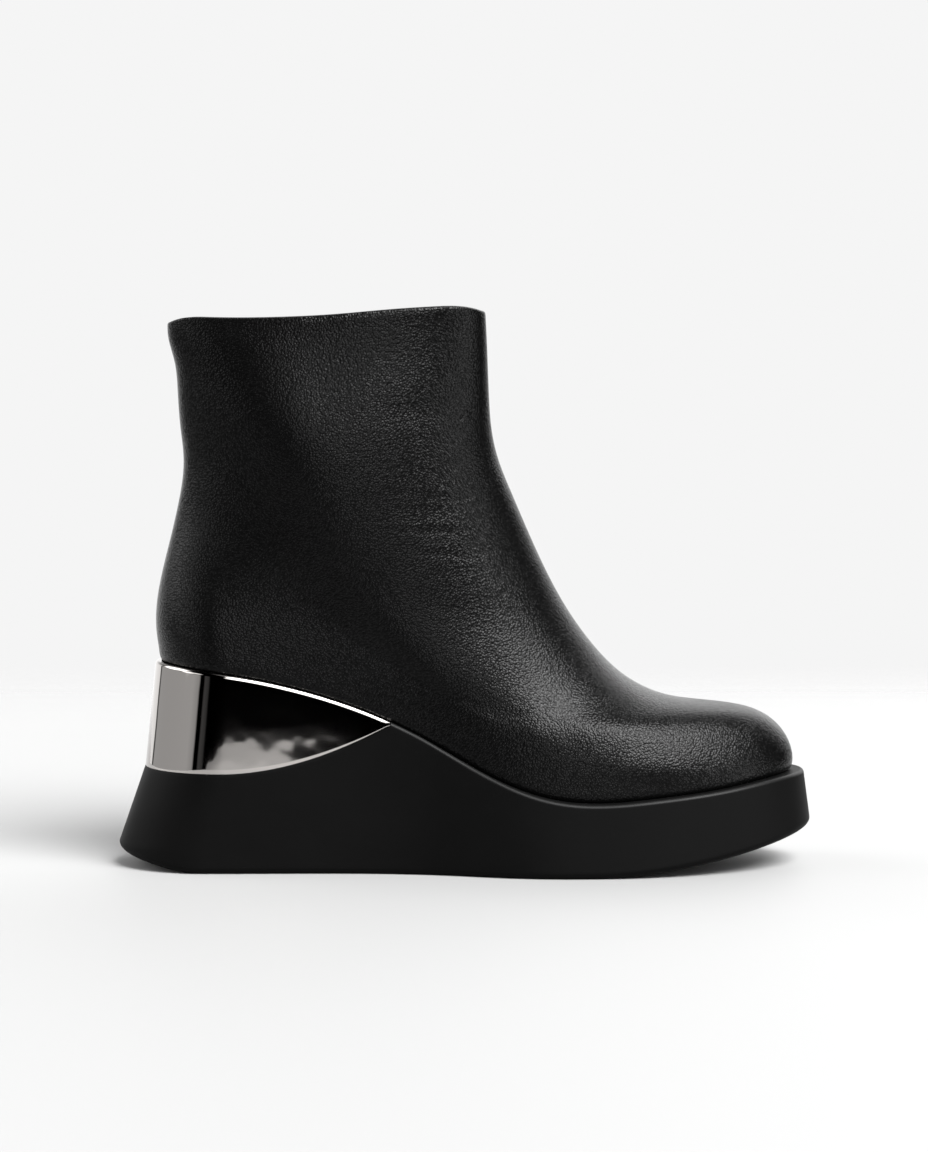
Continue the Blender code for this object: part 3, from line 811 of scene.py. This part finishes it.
def nappa_leather():
    """Aniline dyed nappa calf, lightly waxed: fine pebbles that shine on their crowns."""
    material, tree, shader = new_material("nappa_leather", IOR=1.5)
    place = add(tree, "ShaderNodeTexCoord").outputs["Object"]
    drift = add(tree, "ShaderNodeTexNoise", {"Vector": place, "Scale": DRIFT_CELLS, "Detail": 2.0})
    moved = add(
        tree,
        "ShaderNodeVectorMath",
        {0: drift.outputs["Color"], 1: [GRAIN_DRIFT] * 3, 2: place},
        operation="MULTIPLY_ADD",
    )
    pebble = add(
        tree,
        "ShaderNodeTexVoronoi",
        {"Vector": moved.outputs["Vector"], "Scale": GRAIN_CELLS, "Smoothness": 0.35},
        feature="SMOOTH_F1",
    )
    pores = add(tree, "ShaderNodeTexNoise", {"Vector": place, "Scale": PORE_CELLS, "Detail": 3.0})
    stretched = add(
        tree,
        "ShaderNodeMapping",
        {
            "Vector": moved.outputs["Vector"],
            "Rotation": (0.0, FLEX_LINE_TURN, 0.0),
            "Scale": FLEX_LINE_CELLS,
        },
    )
    lines = add(
        tree,
        "ShaderNodeTexNoise",
        {"Vector": stretched.outputs["Vector"], "Scale": 1.0, "Detail": 3.0, "Roughness": 0.55},
    )
    flex = add(tree, "ShaderNodeAttribute", attribute_name="flex").outputs["Fac"]
    line_depth = add(
        tree,
        "ShaderNodeMath",
        {0: lines.outputs["Fac"], 1: flex},
        operation="MULTIPLY",
    )
    grain = add(
        tree,
        "ShaderNodeMath",
        {0: pores.outputs["Fac"], 1: PORE_DEPTH, 2: pebble.outputs["Distance"]},
        operation="MULTIPLY_ADD",
    )
    relief = add(
        tree,
        "ShaderNodeMath",
        {0: line_depth.outputs["Value"], 1: FLEX_LINE_DEPTH, 2: grain.outputs["Value"]},
        operation="MULTIPLY_ADD",
    )
    bump = add(
        tree,
        "ShaderNodeBump",
        {"Height": relief.outputs["Value"], "Strength": 1.0, "Distance": GRAIN_HEIGHT},
    )
    broad = add(
        tree,
        "ShaderNodeTexNoise",
        {"Vector": place, "Scale": HIDE_CLOUD_CELLS, "Detail": 3.0},
    )
    tone = add(
        tree,
        "ShaderNodeMix",
        {0: broad.outputs["Fac"], 6: linear("#030303"), 7: linear("#060606")},
        data_type="RGBA",
    )
    gloss = add(
        tree,
        "ShaderNodeMapRange",
        {
            "Value": broad.outputs["Fac"],
            "From Min": 0.3,
            "From Max": 0.7,
            "To Min": 0.22,
            "To Max": 0.27,
        },
    )
    crown_shine = add(
        tree,
        "ShaderNodeMapRange",
        {
            "Value": pebble.outputs["Distance"],
            "From Min": 0.15,
            "From Max": 0.60,
            "To Min": 0.155,
            "To Max": 0.06,
        },
    )
    tree.links.new(crown_shine.outputs["Result"], shader.inputs["Specular IOR Level"])
    tree.links.new(tone.outputs[2], shader.inputs["Base Color"])
    tree.links.new(gloss.outputs["Result"], shader.inputs["Roughness"])
    tree.links.new(bump.outputs["Normal"], shader.inputs["Normal"])
    return material


def calf_lining():
    """Calf lining, dyed black: matt, with a soft suede-like nap."""
    material, tree, shader = new_material(
        "calf_lining",
        IOR=1.45,
        Roughness=0.75,
        Sheen_Weight=0.15,
    )
    place = add(tree, "ShaderNodeTexCoord").outputs["Object"]
    nap = add(tree, "ShaderNodeTexNoise", {"Vector": place, "Scale": NAP_CELLS, "Detail": 4.0})
    tone = add(
        tree,
        "ShaderNodeMix",
        {0: nap.outputs["Fac"], 6: linear("#100f0e"), 7: linear("#191716")},
        data_type="RGBA",
    )
    bump = add(
        tree,
        "ShaderNodeBump",
        {"Height": nap.outputs["Fac"], "Strength": 0.4, "Distance": NAP_HEIGHT},
    )
    tree.links.new(tone.outputs[2], shader.inputs["Base Color"])
    tree.links.new(bump.outputs["Normal"], shader.inputs["Normal"])
    return material


def moulded_polyurethane():
    """Moulded polyurethane with a satin mould finish: even, dark, slightly mottled gloss."""
    material, tree, shader = new_material("moulded_polyurethane", IOR=1.5)
    place = add(tree, "ShaderNodeTexCoord").outputs["Object"]
    skin = add(
        tree,
        "ShaderNodeTexNoise",
        {"Vector": place, "Scale": MOULD_SKIN_CELLS, "Detail": 2.0},
    )
    cloud = add(
        tree,
        "ShaderNodeTexNoise",
        {"Vector": place, "Scale": MOULD_CLOUD_CELLS, "Detail": 4.0},
    )
    tone = add(
        tree,
        "ShaderNodeMix",
        {0: cloud.outputs["Fac"], 6: linear("#030303"), 7: linear("#050505")},
        data_type="RGBA",
    )
    gloss = add(
        tree,
        "ShaderNodeMapRange",
        {
            "Value": cloud.outputs["Fac"],
            "From Min": 0.3,
            "From Max": 0.7,
            "To Min": 0.50,
            "To Max": 0.60,
        },
    )
    bump = add(
        tree,
        "ShaderNodeBump",
        {"Height": skin.outputs["Fac"], "Strength": 0.25, "Distance": MOULD_SKIN_HEIGHT},
    )
    edge = add(tree, "ShaderNodeAttribute", attribute_name="edge").outputs["Fac"]
    polish = add(
        tree,
        "ShaderNodeMapRange",
        {
            "Value": edge,
            "From Min": 0.0,
            "From Max": 1.0,
            "To Min": WALL_SHINE,
            "To Max": EDGE_SHINE,
        },
    )
    rubbed = add(
        tree,
        "ShaderNodeMath",
        {0: edge, 1: EDGE_SMOOTHING, 2: gloss.outputs["Result"]},
        operation="MULTIPLY_ADD",
    )
    tree.links.new(polish.outputs["Result"], shader.inputs["Specular IOR Level"])
    tree.links.new(tone.outputs[2], shader.inputs["Base Color"])
    tree.links.new(rubbed.outputs["Value"], shader.inputs["Roughness"])
    tree.links.new(bump.outputs["Normal"], shader.inputs["Normal"])
    return material


def smoked_chrome():
    """Vacuum-plated plastic with a smoked mirror finish: sharp reflections, a little wavy."""
    material, tree, shader = new_material("smoked_chrome", Metallic=1.0, Roughness=0.035)
    place = add(tree, "ShaderNodeTexCoord").outputs["Object"]
    wave = add(
        tree,
        "ShaderNodeTexNoise",
        {"Vector": place, "Scale": PLATING_WAVE_CELLS, "Detail": 1.5},
    )
    bump = add(
        tree,
        "ShaderNodeBump",
        {"Height": wave.outputs["Fac"], "Strength": 0.5, "Distance": PLATING_WAVE_HEIGHT},
    )
    shader.inputs["Base Color"].default_value = linear("#afaba8")
    tree.links.new(bump.outputs["Normal"], shader.inputs["Normal"])
    return material


# Studio table, in metres and shares of white. In front, out of the picture, it is darker: painted
# shade, where the light falls off toward the camera.
FLOOR_REACH = 1.8
FLOOR_SHADE_FROM = -0.9
FLOOR_SHADE_TO = -0.5
FLOOR_FRONT_SHADE = 0.100
FLOOR_GREY = 0.268

# Where the table ends: first the place where it is clear, then the one where it is solid
BACK_END = (0.80, 0.45)
FRONT_END = (-0.965, -0.935)
HEEL_END = (-0.60, -0.57)
TOE_END = (0.80, 0.45)
FRONT_END_CELLS = 6.0  # uneven front edge, which the plated band reflects
FRONT_END_DEPTH = 0.24


def make_floor():
    """A white studio table: it fades into the background, and ends in front of the boot."""
    mesh = bpy.data.meshes.new("studio_floor")
    signs = ((-1, -1), (1, -1), (1, 1), (-1, 1))
    corners = [(x * FLOOR_REACH, y * FLOOR_REACH, 0) for x, y in signs]
    mesh.from_pydata(corners, [], [(0, 1, 2, 3)])
    material, tree, shader = new_material("white_floor", Roughness=0.6)
    place = add(tree, "ShaderNodeTexCoord").outputs["Object"]
    parts = add(tree, "ShaderNodeSeparateXYZ", {0: place})
    # Painted shade: the table's colour darkens toward the front, from its even grey to a dark
    # grey.
    front_shade = add(
        tree,
        "ShaderNodeMapRange",
        {
            "Value": parts.outputs["Y"],
            "From Min": FLOOR_SHADE_FROM,
            "From Max": FLOOR_SHADE_TO,
            "To Min": FLOOR_FRONT_SHADE,
            "To Max": FLOOR_GREY,
        },
        interpolation_type="SMOOTHSTEP",
    )
    tree.links.new(front_shade.outputs["Result"], shader.inputs["Base Color"])
    ragged = add(
        tree,
        "ShaderNodeTexNoise",
        {"Vector": place, "Scale": FRONT_END_CELLS, "Detail": 3.0},
    )
    front_edge = add(
        tree,
        "ShaderNodeMath",
        {0: ragged.outputs["Fac"], 1: FRONT_END_DEPTH, 2: parts.outputs["Y"]},
        operation="MULTIPLY_ADD",
    )
    fades = (
        (parts.outputs["Y"], BACK_END),
        (front_edge.outputs["Value"], FRONT_END),
        (parts.outputs["X"], HEEL_END),
        (parts.outputs["X"], TOE_END),
    )
    solid = 1.0
    for value, (clear, full) in fades:
        fade = add(
            tree,
            "ShaderNodeMapRange",
            {"Value": value, "From Min": clear, "From Max": full, "To Min": 0.0, "To Max": 1.0},
            interpolation_type="SMOOTHSTEP",
        )
        solid = add(
            tree,
            "ShaderNodeMath",
            {0: fade.outputs["Result"], 1: solid},
            operation="MULTIPLY",
        ).outputs["Value"]
    tree.links.new(solid, shader.inputs["Alpha"])
    mesh.materials.append(material)
    floor = bpy.data.objects.new("studio_floor", mesh)
    bpy.context.scene.collection.objects.link(floor)


# Low panels of the studio: share of a turn from the front by the toe's side, brightness
PANELS = (
    (0.000, 0.00),
    (0.350, 0.00),
    (0.450, 1.20),
    (0.630, 1.40),
    (0.634, 0.05),
    (0.641, 0.05),
    (0.645, 0.60),
    (0.830, 0.66),
    (0.858, 0.50),
    (0.862, 0.00),
    (0.880, 0.00),
    (0.884, 0.09),
    (0.902, 0.06),
    (0.908, 0.00),
    (1.000, 0.00),
)

# Soft lights: degrees from the front by the toe's side, height, half width, brightness
SOFT_LIGHTS = (
    (40, 50, 25, 32.0),  # main light, by the toe and over the camera
    (26, 25, 14, 0.6),  # its lower rim
    (8, 18, 15, 5.8),  # fill light over the camera
    (67, 3, 17, 8.0),  # beside the toe
    (301, 21, 14, 2.2),  # beside the heel
    (286, 14, 13, 3.5),  # beside the heel, lower
    (254, 32, 27, 5.0),  # behind the heel
    (150, 32, 32, 3.0),  # behind the toe
    (120, 70, 30, 0.9),  # overhead
    (195, 45, 30, 0.6),  # behind the boot
)

LIGHT_CORE = 0.35  # share of a soft light's half width that is fully bright

# Height of the low panels, from 0 at the floor's level to 1 overhead: where they begin to
# fade, and where they end in front of the boot and behind it. The end goes up between two
# places on the way from the front, at -1, to the back, at 1.
PANELS_FADE_FROM = 0.06
PANELS_END_FRONT = 0.10
PANELS_END_BACK = 0.5
PANELS_RISE_FROM = -0.25
PANELS_RISE_TO = 0.35


def make_world():
    """An even pale background, and round the boot a studio that is dark in front."""
    world = bpy.data.worlds.new("studio")
    bpy.context.scene.world = world
    world.use_nodes = True
    tree = world.node_tree
    tree.nodes.clear()
    toward = add(tree, "ShaderNodeTexCoord").outputs["Generated"]
    parts = add(tree, "ShaderNodeSeparateXYZ", {0: toward})
    turned = add(
        tree,
        "ShaderNodeVectorRotate",
        {"Vector": toward, "Angle": math.radians(-90)},
        rotation_type="Z_AXIS",
    )
    around = add(
        tree,
        "ShaderNodeTexGradient",
        {"Vector": turned.outputs["Vector"]},
        gradient_type="RADIAL",
    )
    panels = add(tree, "ShaderNodeValToRGB", {"Fac": around.outputs["Fac"]})
    ramp = panels.color_ramp
    while len(ramp.elements) < len(PANELS):
        ramp.elements.new(0.5)
    for element, (share, bright) in zip(ramp.elements, PANELS):
        element.position = share
        element.color = (bright, bright, bright, 1.0)
    panel_top = add(
        tree,
        "ShaderNodeMapRange",
        {
            "Value": parts.outputs["Y"],
            "From Min": PANELS_RISE_FROM,
            "From Max": PANELS_RISE_TO,
            "To Min": PANELS_END_FRONT,
            "To Max": PANELS_END_BACK,
        },
        interpolation_type="SMOOTHSTEP",
    )
    low = add(
        tree,
        "ShaderNodeMapRange",
        {
            "Value": parts.outputs["Z"],
            "From Min": PANELS_FADE_FROM,
            "From Max": panel_top.outputs["Result"],
            "To Min": 1.0,
            "To Max": 0.0,
        },
        interpolation_type="SMOOTHSTEP",
    )
    lit = add(
        tree,
        "ShaderNodeMath",
        {0: panels.outputs["Color"], 1: low.outputs["Result"]},
        operation="MULTIPLY",
    ).outputs["Value"]
    for turn, height, half_width, bright in SOFT_LIGHTS:
        turn, height, half_width = (math.radians(value) for value in (turn, height, half_width))
        level = math.cos(height)
        middle = (math.sin(turn) * level, -math.cos(turn) * level, math.sin(height))
        near = add(tree, "ShaderNodeVectorMath", {0: toward, 1: middle}, operation="DOT_PRODUCT")
        glow = add(
            tree,
            "ShaderNodeMapRange",
            {
                "Value": near.outputs["Value"],
                "From Min": math.cos(half_width),
                "From Max": math.cos(half_width * LIGHT_CORE),
                "To Min": 0.0,
                "To Max": bright,
            },
            interpolation_type="SMOOTHSTEP",
        )
        lit = add(tree, "ShaderNodeMath", {0: lit, 1: glow.outputs["Result"]}, operation="ADD")
        lit = lit.outputs["Value"]
    room = add(tree, "ShaderNodeBackground", {"Color": lit, "Strength": 1.0})
    backdrop = add(tree, "ShaderNodeBackground", {"Color": linear("#f5f5f5"), "Strength": 1.0})
    seen = add(tree, "ShaderNodeLightPath").outputs["Is Camera Ray"]
    mixed = add(tree, "ShaderNodeMixShader", {0: seen, 1: room.outputs[0], 2: backdrop.outputs[0]})
    add(tree, "ShaderNodeOutputWorld", {"Surface": mixed.outputs[0]})


# Camera, in metres, millimetres for the lens and its sensor, and degrees
CAMERA_PLACE = (-0.0004, -1.49, 0.2242)
CAMERA_DIP = 4.295
CAMERA_LENS = 119.37
CAMERA_SENSOR = 36.0


def make_camera():
    """The view from the outer side, a little above the boot."""
    camera = bpy.data.cameras.new("side_view")
    camera.sensor_width = CAMERA_SENSOR
    camera.lens = CAMERA_LENS
    camera.clip_start = 0.05
    camera.clip_end = 20.0
    viewer = bpy.data.objects.new("side_view", camera)
    viewer.location = CAMERA_PLACE
    viewer.rotation_euler = (math.radians(90 - CAMERA_DIP), 0.0, 0.0)
    bpy.context.scene.collection.objects.link(viewer)
    bpy.context.scene.camera = viewer


make_camera()
leather = nappa_leather()
lining = calf_lining()
pieces = (
    (make_upper(leather, lining), "upper", "upper_leather"),
    (make_sole(moulded_polyurethane()), "sole", "sole_rubber"),
    (make_heel_cover(smoked_chrome()), "heel_cover", "heel_mirror"),
    (make_insole(lining), "insole", "insole_lining"),
)
for piece, node, slot in pieces:
    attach(piece, "root")
    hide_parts(node)
make_floor()
make_world()
bpy.context.scene.view_settings.view_transform = "Standard"
